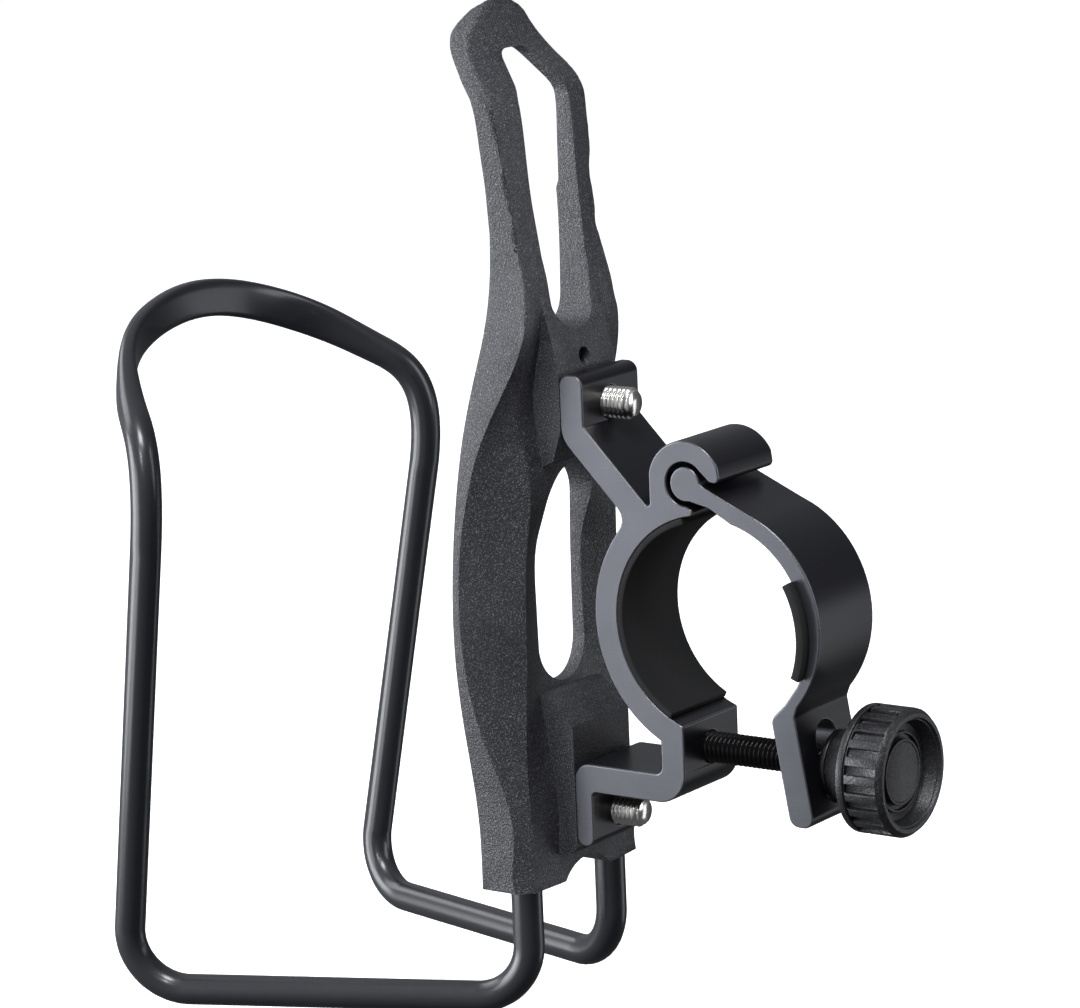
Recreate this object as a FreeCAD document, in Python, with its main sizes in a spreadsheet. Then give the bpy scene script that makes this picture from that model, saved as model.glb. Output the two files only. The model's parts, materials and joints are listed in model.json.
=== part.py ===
"""Water bottle cage with a handlebar clamp mount.

Frame, millimetres: the origin is on the handlebar's axis, in the middle of the clamp's width.
X runs along the handlebar, Y points from the handlebar to the bottle, Z is up along the bottle.
The extrusions (bracket and strap) have their profile in the YZ plane and their width along X.
"""
import FreeCAD, Part
import Sketcher
import math
import os

V = FreeCAD.Vector
doc = FreeCAD.newDocument("bottle_cage")

# ---------------------------------------------------------------- driving dimensions
sheet = doc.addObject("Spreadsheet::Sheet", "Dimensions")
DIMENSIONS = [
    # handlebar and extrusions
    ("bar_radius", 15.9, "31.8 mm handlebar"),
    ("extrusion_width", 15.25, "width of bracket and strap along the bar"),
    ("saddle_pad_thick", 1.0, "rubber between saddle and bar"),
    ("saddle_wall", 4.1, "bracket wall round the bar"),
    ("strap_pad_thick", 0.6, "rubber between strap and bar"),
    ("strap_wall", 2.64, "strap band round the bar"),
    ("pad_overhang", 1.8, "strap pad past each side of the strap"),
    # bracket
    ("back_plane", 26.0, "plane where bracket and spine meet"),
    ("bolt_spacing", 64.0, "standard bottle cage hole spacing"),
    ("upper_bolt_height", 31.43, "upper bolt above the bar's axis"),
    ("leg_reach", 4.8, "leg past the bolt's axis"),
    ("upper_leg_wall", 4.2, "upper leg"),
    ("upper_leg_foot", 28.75, "height where the arm leaves the upper leg"),
    ("lower_leg_wall", 3.13, "lower leg"),
    ("arm_wall", 4.4, "slanted arm"),
    ("arm_slope", 45.5, "arm from the horizontal, degrees"),
    ("post_front", 5.66, "front face of the tapped post below the bar"),
    ("post_wall", 4.2, "tapped post"),
    ("web_top", -23.8, "web between the post and the lower leg"),
    ("web_wall", 4.45, "web"),
    # hinge between bracket and strap
    ("hinge_ahead", 3.85, "hinge axis from the bar's axis along Y"),
    ("hinge_height", 21.45, "hinge axis above the bar's axis"),
    ("bead_radius", 2.65, "bead at the strap's end"),
    ("socket_gap", 0.72, "between bead and hook"),
    ("hook_wall", 3.2, "hook round the bead"),
    # strap tab and clamp screw
    ("screw_height", -20.67, "clamp screw's axis"),
    ("tab_lean", 10.2, "tab from the vertical, degrees"),
    ("tab_wall", 4.18, "tab"),
    ("tab_front", -15.66, "tab's outer face at the screw's axis"),
    ("tab_bottom", -29.1, "tab's lower end"),
    ("slot_width", 5.6, "slot in the tab"),
    ("slot_up", 6.4, "slot's upper end above the screw's axis"),
    ("slot_down", 5.9, "slot's lower end below the screw's axis"),
    ("screw_radius", 2.42, "M5 thread over its crests"),
    ("screw_end", 13.4, "end of the screw past the post"),
    ("screw_fit", 0.05, "clearance of the screw in the tapped post"),
    ("head_radius", 4.4, "screw head, across corners"),
    ("head_height", 3.4, "screw head"),
    # thrust washer and knob
    ("washer_radius", 5.2, "thrust washer"),
    ("washer_thick", 0.8, "thrust washer"),
    ("washer_gap", 0.06, "thrust washer to the tab's nearest edge"),
    ("hub_radius", 5.0, "knob hub at the washer"),
    ("hub_base_radius", 7.6, "knob hub at the flange"),
    ("hub_length", 4.7, "knob hub"),
    ("knob_radius", 9.7, "flange and front rim"),
    ("flange_thick", 1.1, "rear flange"),
    ("grip_length", 6.5, "grip in front of the flange"),
    ("grip_depth", 0.75, "grooves between the grip's ribs"),
    ("rib_count", 22, "ribs round the grip"),
    ("rim_thick", 0.9, "rim in front of the grip's grooves"),
    ("recess_radius", 7.9, "recess in the front of the knob"),
    ("recess_depth", 3.0, "recess in the front of the knob"),
    ("cap_radius", 5.0, "cap over the screw's head"),
    ("cap_thick", 1.1, "cap over the screw's head"),
    ("cap_setback", 1.7, "cap's face behind the front rim"),
    # cage bolts
    ("bolt_radius", 2.47, "M5 thread over its crests"),
    ("bolt_hole_radius", 2.52, "hole in the legs"),
    ("spine_hole_radius", 2.75, "hole in the spine"),
    ("bolt_length", 12.0, "bolt under its head"),
    ("upper_tip", 17.3, "upper bolt's tip"),
    ("lower_tip", 18.3, "lower bolt's tip"),
    ("bolt_head_radius", 4.75, "button head"),
    ("bolt_head_height", 2.75, "button head"),
    ("bolt_washer_radius", 5.0, "washer under the head"),
    ("bolt_washer_thick", 1.0, "washer under the head"),
    ("counterbore_radius", 5.4, "counterbore in the spine"),
    ("hex_flats", 3.0, "hexagon socket across flats"),
    # spine
    ("bottle_radius", 37.0, "trough that the bottle lies in"),
    ("spine_front", 33.75, "front of the spine on its middle line"),
    ("pad_half_width", 7.6, "mounting pads"),
    ("spine_bottom", -43.6, "bottom of the feet"),
    ("upper_window_bottom", 42.6, "window in the tongue"),
    ("upper_window_top", 84.6, "window in the tongue"),
    ("lower_window_top", 21.4, "window behind the bar"),
    ("lower_window_bottom", -13.0, "window behind the bar"),
    ("lower_window_half_width", 6.1, "window behind the bar"),
    ("foot_arch_half_width", 6.1, "arch between the feet"),
    ("foot_arch_height", 2.6, "arch between the feet"),
    # wire loop
    ("wire_radius", 2.45, "5 mm wire"),
    ("wire_end_width", 11.32, "wire ends from the middle"),
    ("wire_end_ahead", 33.3, "wire ends along Y"),
    ("wire_end_depth", 15.0, "wire moulded into each foot"),
    ("floor_back", -61.5, "wire's lower back corner"),
    ("floor_front", -63.75, "wire's lower front corner"),
    ("corner_width", 32.0, "lower front corners from the middle"),
    ("corner_ahead", 98.0, "lower front corners along Y"),
    ("corner_bend", 9.0, "bend radius at the lower corners"),
    ("root_height", 9.2, "top of the straight sides"),
    ("root_width", 35.9, "top of the straight sides from the middle"),
    ("root_ahead", 85.35, "top of the straight sides along Y"),
    ("arch_height", 42.2, "middle of the arch"),
    ("arch_ahead", 102.8, "middle of the arch"),
    ("arch_band_height", 6.0, "flattened wire in the middle of the arch"),
    ("arch_band_thick", 3.0, "flattened wire in the middle of the arch"),
]
for row, (alias, value, meaning) in enumerate(DIMENSIONS, start=1):
    sheet.set("A%d" % row, meaning)
    sheet.set("B%d" % row, str(value))
    sheet.setAlias("B%d" % row, alias)
doc.recompute()


def dim(alias):
    """The value of a cell of the sheet."""
    return float(getattr(sheet, alias))


def bind(obj, **expressions):
    """Bind properties of an object to expressions on the sheet's cells."""
    for prop, expression in expressions.items():
        for alias, _, _ in DIMENSIONS:
            expression = expression.replace("<%s>" % alias, "Dimensions.%s" % alias)
        obj.setExpression(prop, expression)
    return obj


# ---------------------------------------------------------------- outlines
def polar(radius, degrees, centre=(0.0, 0.0)):
    """A point on a circle, with its angle from +Y towards +Z."""
    a = math.radians(degrees)
    return (centre[0] + radius * math.cos(a), centre[1] + radius * math.sin(a))


def crossing(p, slope_p, q, slope_q):
    """Where the line through p at slope_p degrees meets the line through q at slope_q degrees."""
    a, b = math.radians(slope_p), math.radians(slope_q)
    det = math.cos(a) * -math.sin(b) + math.cos(b) * math.sin(a)
    along = ((q[0] - p[0]) * -math.sin(b) + math.cos(b) * (q[1] - p[1])) / det
    return (p[0] + along * math.cos(a), p[1] + along * math.sin(a))


class Outline:
    """A closed outline of lines and arcs; a corner may be given a radius."""

    def __init__(self):
        self.steps = []

    def corner(self, point, radius=0.0):
        self.steps.append(("corner", point, radius))
        return self

    def arc(self, middle, end):
        self.steps.append(("arc", middle, end))
        return self

    def edges(self):
        """The outline as a list of ('line', a, b) and ('arc', a, middle, b)."""
        steps, count, out = self.steps, len(self.steps), []
        here = steps[-1][2] if steps[-1][0] == "arc" else None
        cuts = []
        for i, step in enumerate(steps):
            if step[0] == "arc":
                cuts.append((step[2], None, step[2]))
                continue
            before, after = steps[i - 1], steps[(i + 1) % count]
            a = before[2] if before[0] == "arc" else before[1]
            b = after[1]
            cuts.append(self.rounded(a, step[1], b, step[2]))
        here = cuts[-1][2]
        for step, (enter, middle, leave) in zip(steps, cuts):
            if step[0] == "arc":
                out.append(("arc", here, step[1], enter))
            elif math.dist(here, enter) > 1e-6:
                out.append(("line", here, enter))
            if middle:
                out.append(("arc", enter, middle, leave))
            here = leave
        return out

    @staticmethod
    def rounded(a, corner, b, radius):
        """Tangent points and the middle of the arc that rounds a corner."""
        if radius <= 0.0:
            return (corner, None, corner)
        ua = [(a[k] - corner[k]) / math.dist(a, corner) for k in (0, 1)]
        ub = [(b[k] - corner[k]) / math.dist(b, corner) for k in (0, 1)]
        half = math.acos(max(-1.0, min(1.0, ua[0] * ub[0] + ua[1] * ub[1]))) / 2
        back = radius / math.tan(half)
        bisector = [ua[k] + ub[k] for k in (0, 1)]
        size = math.hypot(*bisector)
        reach = radius / math.sin(half) - radius
        enter = tuple(corner[k] + ua[k] * back for k in (0, 1))
        leave = tuple(corner[k] + ub[k] * back for k in (0, 1))
        middle = tuple(corner[k] + bisector[k] / size * reach for k in (0, 1))
        return (enter, middle, leave)


def flat_geometry(outline):
    """Sketch geometry for an outline in a sketch's own plane."""
    geometry = []
    for edge in outline.edges():
        points = [V(p[0], p[1], 0) for p in edge[1:]]
        geometry.append(Part.LineSegment(*points) if edge[0] == "line" else Part.Arc(*points))
    return geometry


def plane_of(body, role):
    """One of a body's own origin planes."""
    return [f for f in body.Origin.OriginFeatures if f.Role == role][0]


def sketch_on(body, name, role, outline):
    """A sketch of an outline, on one of the body's origin planes, with its ends joined."""
    sketch = body.newObject("Sketcher::SketchObject", name)
    sketch.AttachmentSupport = [(plane_of(body, role), "")]
    sketch.MapMode = "FlatFace"
    geometry = flat_geometry(outline) if isinstance(outline, Outline) else outline
    sketch.addGeometry(geometry, False)
    count = len(geometry)
    for i in range(count if count > 1 else 0):
        j = (i + 1) % count
        joined = [(a, b) for a in (1, 2) for b in (1, 2)
                  if sketch.getPoint(i, a).distanceToPoint(sketch.getPoint(j, b)) < 1e-5]
        if joined:
            sketch.addConstraint(Sketcher.Constraint("Coincident", i, joined[0][0], j, joined[0][1]))
    doc.recompute()
    return sketch


def new_body(label):
    body = doc.addObject("PartDesign::Body", label)
    body.Label = label
    return body


def pad(body, sketch, length):
    """A pad to both sides of the sketch's plane, its length bound to an expression."""
    feature = body.newObject("PartDesign::Pad", sketch.Name + "_pad")
    feature.Profile = sketch
    feature.Midplane = True
    bind(feature, Length=length)
    doc.recompute()
    return feature


def pocket(body, sketch, depth, reverse):
    """A pocket from the sketch's plane, which must remove material."""
    before = body.Shape.Volume
    feature = body.newObject("PartDesign::Pocket", sketch.Name + "_pocket")
    feature.Profile = sketch
    feature.Reversed = reverse
    bind(feature, Length=depth)
    doc.recompute()
    if not body.Shape.Volume < before - 1e-3:
        raise RuntimeError(sketch.Name + " removes nothing")
    return feature


def circle(radius, across, up):
    return [Part.Circle(V(across, up, 0), V(0, 0, 1), radius)]


# ---------------------------------------------------------------- heights shared by several pieces
WIDTH = dim("extrusion_width")
BAR = dim("bar_radius")
BACK = dim("back_plane")
UPPER_Z = dim("upper_bolt_height")
LOWER_Z = UPPER_Z - dim("bolt_spacing")
SCREW_Z = dim("screw_height")
HINGE = (dim("hinge_ahead"), dim("hinge_height"))
FRONT = dim("spine_front")
TROUGH = dim("bottle_radius")
SADDLE_IN = BAR + dim("saddle_pad_thick")
SADDLE_OUT = SADDLE_IN + dim("saddle_wall")


# ---------------------------------------------------------------- bar_bracket
def bracket_outline():
    """Profile of the extruded bracket, from the top of the upper leg clockwise round."""
    top = UPPER_Z + dim("leg_reach") + 0.32
    bottom = LOWER_Z - dim("leg_reach") + 0.37
    leg_front = BACK - dim("upper_leg_wall")
    lower_front = BACK - dim("lower_leg_wall")
    slope = dim("arm_slope")
    arm_foot = (leg_front, dim("upper_leg_foot"))
    under_arm = math.radians(slope)
    arm_under = (arm_foot[0] + dim("arm_wall") * math.sin(under_arm),
                 arm_foot[1] - dim("arm_wall") * math.cos(under_arm))
    socket = dim("bead_radius") + dim("socket_gap")
    hook = socket + dim("hook_wall")
    flank = HINGE[0] + 0.98 * hook
    flank_angle = math.degrees(math.acos((flank - HINGE[0]) / hook))
    notch = crossing(arm_foot, slope, (flank, 0.0), 90.0)
    flare = 38.0
    saddle_leaves = polar(SADDLE_OUT, flare)
    arm_root = crossing(arm_under, slope, saddle_leaves, 90.0 + flare)
    post_back = dim("post_front") + dim("post_wall")
    post_back_top = -math.sqrt(SADDLE_OUT ** 2 - post_back ** 2)
    post_top = -math.sqrt(SADDLE_IN ** 2 - dim("post_front") ** 2)
    web_bottom = dim("web_top") - dim("web_wall")
    lip = 79.5
    outline = Outline()
    outline.corner((BACK, top), 1.7)
    outline.corner((leg_front, top), 1.7)
    outline.corner(arm_foot, 0.5)
    outline.corner(notch, 0.45)
    outline.corner(polar(hook, flank_angle, HINGE))
    outline.arc(polar(hook, 80.0, HINGE), polar(hook, 152.0, HINGE))
    outline.corner(polar(hook - 0.35, 176.5, HINGE), 0.9)
    outline.corner(polar(socket + 1.0, 172.0, HINGE), 0.5)
    outline.corner(polar(socket, 141.0, HINGE))
    outline.arc(polar(socket, 10.0, HINGE), polar(socket, 269.0, HINGE))
    outline.corner((HINGE[0] - 0.62, HINGE[1] - socket - 0.28))
    outline.arc((HINGE[0] - 1.18, HINGE[1] - socket - 0.85), polar(SADDLE_IN, lip))
    outline.arc(polar(SADDLE_IN, 5.0), (dim("post_front"), post_top))
    outline.corner((dim("post_front"), web_bottom), 5.0)
    outline.corner((lower_front, web_bottom), 0.7)
    outline.corner((lower_front, bottom), 1.5)
    outline.corner((BACK, bottom), 1.5)
    outline.corner((BACK, dim("web_top")), 2.7)
    outline.corner((post_back, dim("web_top")), 1.2)
    outline.corner((post_back, post_back_top))
    outline.arc(polar(SADDLE_OUT, -10.0), saddle_leaves)
    outline.corner(arm_root, 2.4)
    outline.corner(crossing(arm_under, slope, (BACK, 0.0), 90.0), 4.6)
    return outline


bar_bracket = new_body("bar_bracket")
profile = sketch_on(bar_bracket, "bracket_profile", "YZ_Plane", bracket_outline())
pad(bar_bracket, profile, "<extrusion_width>")


def leg_hole(body, name, height, radius, start, end):
    """A round hole along Y between two places; the sketch is on the XZ plane, which faces -Y."""
    sketch = sketch_on(body, name, "XZ_Plane", circle(radius, 0, height))
    sketch.AttachmentOffset = FreeCAD.Placement(V(0, 0, -start), FreeCAD.Rotation())
    doc.recompute()
    before = body.Shape.Volume
    feature = body.newObject("PartDesign::Pocket", name + "_pocket")
    feature.Profile = sketch
    feature.Length = end - start
    doc.recompute()
    if not body.Shape.Volume < before - 1e-3:
        feature.Reversed = True
        doc.recompute()
    if not body.Shape.Volume < before - 1e-3:
        raise RuntimeError(name + " removes nothing")
    return feature


HOLE = dim("bolt_hole_radius")
leg_hole(bar_bracket, "upper_hole", UPPER_Z, HOLE, BACK - dim("upper_leg_wall") - 1, BACK + 1)
leg_hole(bar_bracket, "lower_hole", LOWER_Z, HOLE, BACK - dim("lower_leg_wall") - 1, BACK + 1)
leg_hole(bar_bracket, "post_hole", SCREW_Z, dim("screw_radius") + dim("screw_fit"),
         dim("post_front") - 1, dim("post_front") + dim("post_wall") + 1)


# ---------------------------------------------------------------- clamp_strap
STRAP_IN = BAR + dim("strap_pad_thick")
STRAP_OUT = STRAP_IN + dim("strap_wall")
LEAN = dim("tab_lean")
TAB_SLOPE = 90.0 - LEAN
TAB_FACE = (dim("tab_front"), SCREW_Z)
TAB_INNER = (TAB_FACE[0] + dim("tab_wall") / math.cos(math.radians(LEAN)), SCREW_Z)


def strap_outline():
    """Profile of the extruded strap, from the bead over the bar and down to the tab."""
    bead = dim("bead_radius")
    outer_start = polar(STRAP_OUT, 112.0)
    inner_start = polar(STRAP_IN, 104.0)
    bead_top = polar(bead, 174.0, HINGE)
    bead_low = polar(bead, 258.0, HINGE)
    neck_upper = crossing(outer_start, 24.2, bead_top, 38.0)
    neck_lower = crossing(inner_start, 29.0, bead_low, 12.0)
    kink = crossing(TAB_FACE, TAB_SLOPE, (0.0, -12.2), 0.0)
    kink_angle = 360.0 + math.degrees(math.atan2(kink[1], kink[0]))
    kink_radius = math.hypot(*kink)
    shoulder = crossing(TAB_INNER, TAB_SLOPE, polar(BAR + 0.35, 226.0), 316.0)
    outline = Outline()
    outline.corner(bead_top)
    outline.arc(polar(bead, 60.0, HINGE), bead_low)
    outline.corner(neck_lower, 1.5)
    outline.corner(inner_start)
    outline.arc(polar(STRAP_IN, 160.0), polar(STRAP_IN, 207.0))
    outline.corner(polar(BAR + 0.4, 220.0))
    outline.corner(shoulder, 1.6)
    outline.corner(crossing(TAB_INNER, TAB_SLOPE, (0.0, dim("tab_bottom")), 0.0), 1.7)
    outline.corner(crossing(TAB_FACE, TAB_SLOPE, (0.0, dim("tab_bottom")), 0.0), 1.7)
    outline.corner(kink, 1.0)
    outline.corner(polar(kink_radius - 0.5, kink_angle - 5.0))
    outline.arc(polar(STRAP_OUT, 170.0), outer_start)
    outline.corner(neck_upper, 0.5)
    return outline


clamp_strap = new_body("clamp_strap")
strap_profile = sketch_on(clamp_strap, "strap_profile", "YZ_Plane", strap_outline())
pad(clamp_strap, strap_profile, "<extrusion_width>")

half_slot = dim("slot_width") / 2
slot_top = SCREW_Z + dim("slot_up") - half_slot
slot_bottom = SCREW_Z - dim("slot_down") + half_slot
slot = Outline()
slot.corner((half_slot, slot_bottom))
slot.corner((half_slot, slot_top))
slot.arc((0.0, slot_top + half_slot), (-half_slot, slot_top))
slot.corner((-half_slot, slot_bottom))
slot.arc((0.0, slot_bottom - half_slot), (half_slot, slot_bottom))
slot_sketch = sketch_on(clamp_strap, "tab_slot", "XZ_Plane", slot)
pocket(clamp_strap, slot_sketch, "-<tab_front> + 4", True)


# ---------------------------------------------------------------- rubber pads
def ring_sector(body, name, inner, outer, start, end, width):
    """A padded part of a ring about the bar's axis, between two angles."""
    middle = (start + end) / 2
    sector = Outline()
    sector.corner(polar(inner, end))
    sector.corner(polar(outer, end))
    sector.arc(polar(outer, middle), polar(outer, start))
    sector.corner(polar(inner, start))
    sector.arc(polar(inner, middle), polar(inner, end))
    return pad(body, sketch_on(body, name, "YZ_Plane", sector), width)


saddle_pad = new_body("saddle_pad")
ring_sector(saddle_pad, "saddle_pad_profile", BAR, SADDLE_IN, -62.0, 74.0, "<extrusion_width>")

PAD_LOW, PAD_HIGH = 201.5, 150.0
strap_pad = new_body("strap_pad")
ring_sector(strap_pad, "strap_pad_profile", BAR, STRAP_IN, PAD_HIGH, PAD_LOW,
            "<extrusion_width> + 2 * <pad_overhang>")
LIP_RISE, LIP_GAP = 0.8, 0.1
lip_box = doc.addObject("Part::Feature", "pad_lips")
lips = []
for side in (-1, 1):
    near = WIDTH / 2 + LIP_GAP
    far = WIDTH / 2 + dim("pad_overhang")
    arc_span = PAD_LOW - PAD_HIGH
    ring = Part.makeCylinder(STRAP_IN + LIP_RISE, far - near, V(side * near, 0, 0), V(side, 0, 0))
    bore = Part.makeCylinder(STRAP_IN - 0.05, far - near, V(side * near, 0, 0), V(side, 0, 0))
    wedge_points = [V(side * near, 0, 0)]
    for angle in (PAD_HIGH, (PAD_HIGH + PAD_LOW) / 2, PAD_LOW):
        y, z = polar(2 * STRAP_OUT, angle)
        wedge_points.append(V(side * near, y, z))
    wedge = Part.Face(Part.makePolygon(wedge_points + wedge_points[:1]))
    wedge = wedge.extrude(V(side * (far - near), 0, 0))
    lips.append(ring.cut(bore).common(wedge))
lip_box.Shape = lips[0].fuse(lips[1])
strap_pad_whole = doc.addObject("Part::Fuse", "strap_pad_with_lips")
strap_pad_whole.Base = strap_pad
strap_pad_whole.Tool = lip_box
doc.recompute()


# ---------------------------------------------------------------- turned parts along Y
def turned(label, axis_z, profile_points):
    """A body of revolution about a line along Y; profile points are (radius, y)."""
    body = new_body(label)
    outline = Outline()
    for point in profile_points:
        outline.corner((point[0], point[1]), point[2] if len(point) > 2 else 0.0)
    sketch = sketch_on(body, label + "_profile", "XY_Plane", outline)
    sketch.AttachmentOffset = FreeCAD.Placement(V(0, 0, axis_z), FreeCAD.Rotation())
    feature = body.newObject("PartDesign::Revolution", label + "_turned")
    feature.Profile = sketch
    feature.ReferenceAxis = (sketch, ["V_Axis"])
    feature.Angle = 360.0
    doc.recompute()
    return body


def hex_hole(body, name, height, flats, start, end):
    """A hexagonal pocket along Y."""
    outline = Outline()
    for k in range(6):
        a = math.radians(60 * k + 30)
        corner_radius = flats / math.sqrt(3)
        outline.corner((corner_radius * math.cos(a), height + corner_radius * math.sin(a)))
    sketch = sketch_on(body, name, "XZ_Plane", outline)
    sketch.AttachmentOffset = FreeCAD.Placement(V(0, 0, -start), FreeCAD.Rotation())
    doc.recompute()
    before = body.Shape.Volume
    feature = body.newObject("PartDesign::Pocket", name + "_pocket")
    feature.Profile = sketch
    feature.Length = end - start
    doc.recompute()
    if not body.Shape.Volume < before - 1e-3:
        feature.Reversed = True
        doc.recompute()
    if not body.Shape.Volume < before - 1e-3:
        raise RuntimeError(name + " removes nothing")


def cage_bolt(label, height, tip):
    """Button-head screw: its thread points to -Y and its head is on the bottle's side."""
    shank, head = dim("bolt_radius"), dim("bolt_head_radius")
    seat = tip + dim("bolt_length")
    crown = seat + dim("bolt_head_height")
    chamfer = 0.6
    body = turned(label, height, [
        (0.0, tip), (shank - chamfer, tip), (shank, tip + chamfer), (shank, seat),
        (head, seat), (head, seat + 0.6), (head * 0.62, crown, 1.0), (0.0, crown)])
    hex_hole(body, label + "_socket", height, dim("hex_flats"), crown - 1.6, crown + 1)
    return body


def plain_washer(label, height, seat, thick, inner, outer):
    return turned(label, height, [(inner, seat - thick), (outer, seat - thick), (outer, seat), (inner, seat)])


UPPER_SEAT = dim("upper_tip") + dim("bolt_length")
LOWER_SEAT = dim("lower_tip") + dim("bolt_length")
cage_bolt("cage_bolt_upper", UPPER_Z, dim("upper_tip"))
cage_bolt("cage_bolt_lower", LOWER_Z, dim("lower_tip"))
BORE = dim("bolt_radius") + 0.18
for label, height, seat in (("cage_washer_upper", UPPER_Z, UPPER_SEAT), ("cage_washer_lower", LOWER_Z, LOWER_SEAT)):
    plain_washer(label, height, seat, dim("bolt_washer_thick"), BORE, dim("bolt_washer_radius"))

# the washer's nearest point to the leaning tab is at its lower edge
lower_edge = TAB_FACE[0] - dim("washer_radius") * math.tan(math.radians(LEAN))
WASHER_BACK = lower_edge - dim("washer_gap")
WASHER_FRONT = WASHER_BACK - dim("washer_thick")
plain_washer("thrust_washer", SCREW_Z, WASHER_BACK, dim("washer_thick"), dim("screw_radius") + 0.06,
             dim("washer_radius"))

HUB_BACK = WASHER_FRONT - 0.05
FLANGE_BACK = HUB_BACK - dim("hub_length")
FLANGE_FRONT = FLANGE_BACK - dim("flange_thick")
KNOB_FRONT = FLANGE_FRONT - dim("grip_length")
CAP_FRONT = KNOB_FRONT + dim("cap_setback")
CAP_BACK = CAP_FRONT + dim("cap_thick")
HEAD_BACK = CAP_BACK + dim("head_height")
RECESS_FLOOR = KNOB_FRONT + dim("recess_depth")


# ---------------------------------------------------------------- clamp_screw, thumb_knob, knob_cap
def clamp_screw():
    shank = dim("screw_radius")
    body = turned("clamp_screw", SCREW_Z, [
        (0.0, CAP_BACK), (dim("head_radius"), CAP_BACK), (dim("head_radius"), HEAD_BACK), (shank, HEAD_BACK),
        (shank, dim("screw_end") - 0.7), (shank - 0.7, dim("screw_end")), (0.0, dim("screw_end"))])
    return body


def thumb_knob():
    """Moulded knob: conical hub, flange, ribbed grip and a recess with a raised ring for the cap."""
    shank, head, rim = dim("screw_radius"), dim("head_radius"), dim("knob_radius")
    body = turned("thumb_knob", SCREW_Z, [
        (shank, HUB_BACK), (dim("hub_radius"), HUB_BACK), (dim("hub_base_radius"), FLANGE_BACK),
        (rim, FLANGE_BACK, 0.3), (rim, KNOB_FRONT, 0.5), (dim("recess_radius"), KNOB_FRONT, 0.3),
        (dim("recess_radius"), RECESS_FLOOR, 1.2), (dim("cap_radius") + 0.6, RECESS_FLOOR),
        (dim("cap_radius") + 0.6, CAP_FRONT + 0.25), (dim("cap_radius"), CAP_FRONT + 0.25),
        (dim("cap_radius"), CAP_BACK), (head, CAP_BACK), (head, HEAD_BACK), (shank, HEAD_BACK)])
    pitch = 360.0 / dim("rib_count")
    rim_in = rim - dim("grip_depth")
    groove = Outline()
    half = math.radians(pitch * 0.27)
    outside = rim + 1.0
    foot = half * 0.62
    groove.corner((outside * math.sin(-half), SCREW_Z + outside * math.cos(half)))
    groove.corner((rim_in * math.sin(-foot), SCREW_Z + rim_in * math.cos(foot)), 0.25)
    groove.corner((rim_in * math.sin(foot), SCREW_Z + rim_in * math.cos(foot)), 0.25)
    groove.corner((outside * math.sin(half), SCREW_Z + outside * math.cos(half)))
    sketch = sketch_on(body, "grip_groove", "XZ_Plane", groove)
    sketch.AttachmentOffset = FreeCAD.Placement(V(0, 0, -FLANGE_FRONT), FreeCAD.Rotation())
    before = body.Shape.copy()
    cut = body.newObject("PartDesign::Pocket", "grip_groove_pocket")
    cut.Profile = sketch
    cut.Reversed = True
    bind(cut, Length="<grip_length> - <rim_thick>")
    doc.recompute()
    removed = before.cut(body.Shape)
    if removed.Volume < 0.1 or removed.BoundBox.YMax > FLANGE_FRONT + 0.01:
        raise RuntimeError("the grip's grooves are in the wrong place")
    pattern = body.newObject("PartDesign::PolarPattern", "grip_grooves")
    pattern.Originals = [cut]
    profile_sketch = [o for o in body.Group if o.Name.startswith("thumb_knob_profile")][0]
    pattern.Axis = (profile_sketch, ["V_Axis"])
    pattern.Angle = 360.0
    bind(pattern, Occurrences="<rib_count>")
    body.Tip = pattern
    doc.recompute()
    return body


clamp_screw()
thumb_knob()
turned("knob_cap", SCREW_Z, [
    (0.0, CAP_BACK), (dim("cap_radius"), CAP_BACK), (dim("cap_radius"), CAP_FRONT, 0.25), (0.0, CAP_FRONT)])


# ---------------------------------------------------------------- wire_loop
def wire_path():
    """The right half's middle line, from the end in the foot to the top of the upright side."""
    end_top = dim("spine_bottom") + dim("wire_end_depth")
    return [
        V(dim("wire_end_width"), dim("wire_end_ahead"), end_top),
        V(dim("wire_end_width"), dim("wire_end_ahead"), dim("floor_back")),
        V(dim("corner_width"), dim("corner_ahead"), dim("floor_front")),
        V(dim("root_width"), dim("root_ahead"), dim("root_height")),
    ]


def bent_edges(points, radius):
    """Straight runs joined by tangent arcs."""
    edges, here = [], points[0]
    for i in range(1, len(points) - 1):
        a, corner, b = points[i - 1], points[i], points[i + 1]
        ua, ub = (a - corner).normalize(), (b - corner).normalize()
        half = ua.getAngle(ub) / 2
        back = radius / math.tan(half)
        bisector = (ua + ub).normalize()
        enter, leave = corner + ua * back, corner + ub * back
        middle = corner + bisector * (radius / math.sin(half) - radius)
        edges.append(Part.LineSegment(here, enter).toShape())
        edges.append(Part.Arc(enter, middle, leave).toShape())
        here = leave
    edges.append(Part.LineSegment(here, points[-1]).toShape())
    return edges


# the arch starts inside the upright sides, a hair slimmer than they are
LAP = 5.0
SLIMMER = 0.06


def arch_curve(path):
    """The arch as one smooth curve that leaves both upright sides along their own direction."""
    root, along = path[-1], V(path[-1] - path[-2]).normalize()
    ahead, top = dim("arch_ahead"), dim("arch_height")
    right = [
        root - along * LAP,
        root + along * 8.0,
        V(35.4, ahead - 18.0, top - 15.9),
        V(31.0, ahead - 12.1, top - 11.8),
        V(27.2, ahead - 8.3, top - 8.5),
        V(22.9, ahead - 4.7, top - 5.6),
        V(15.5, ahead - 1.0, top - 2.3),
        V(5.0, ahead + 0.1, top + 0.3),
    ]
    left = [V(-p.x, p.y, p.z) for p in reversed(right)]
    curve = Part.BSplineCurve()
    curve.buildFromPoles(right + left, False, 3)
    return curve


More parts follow.
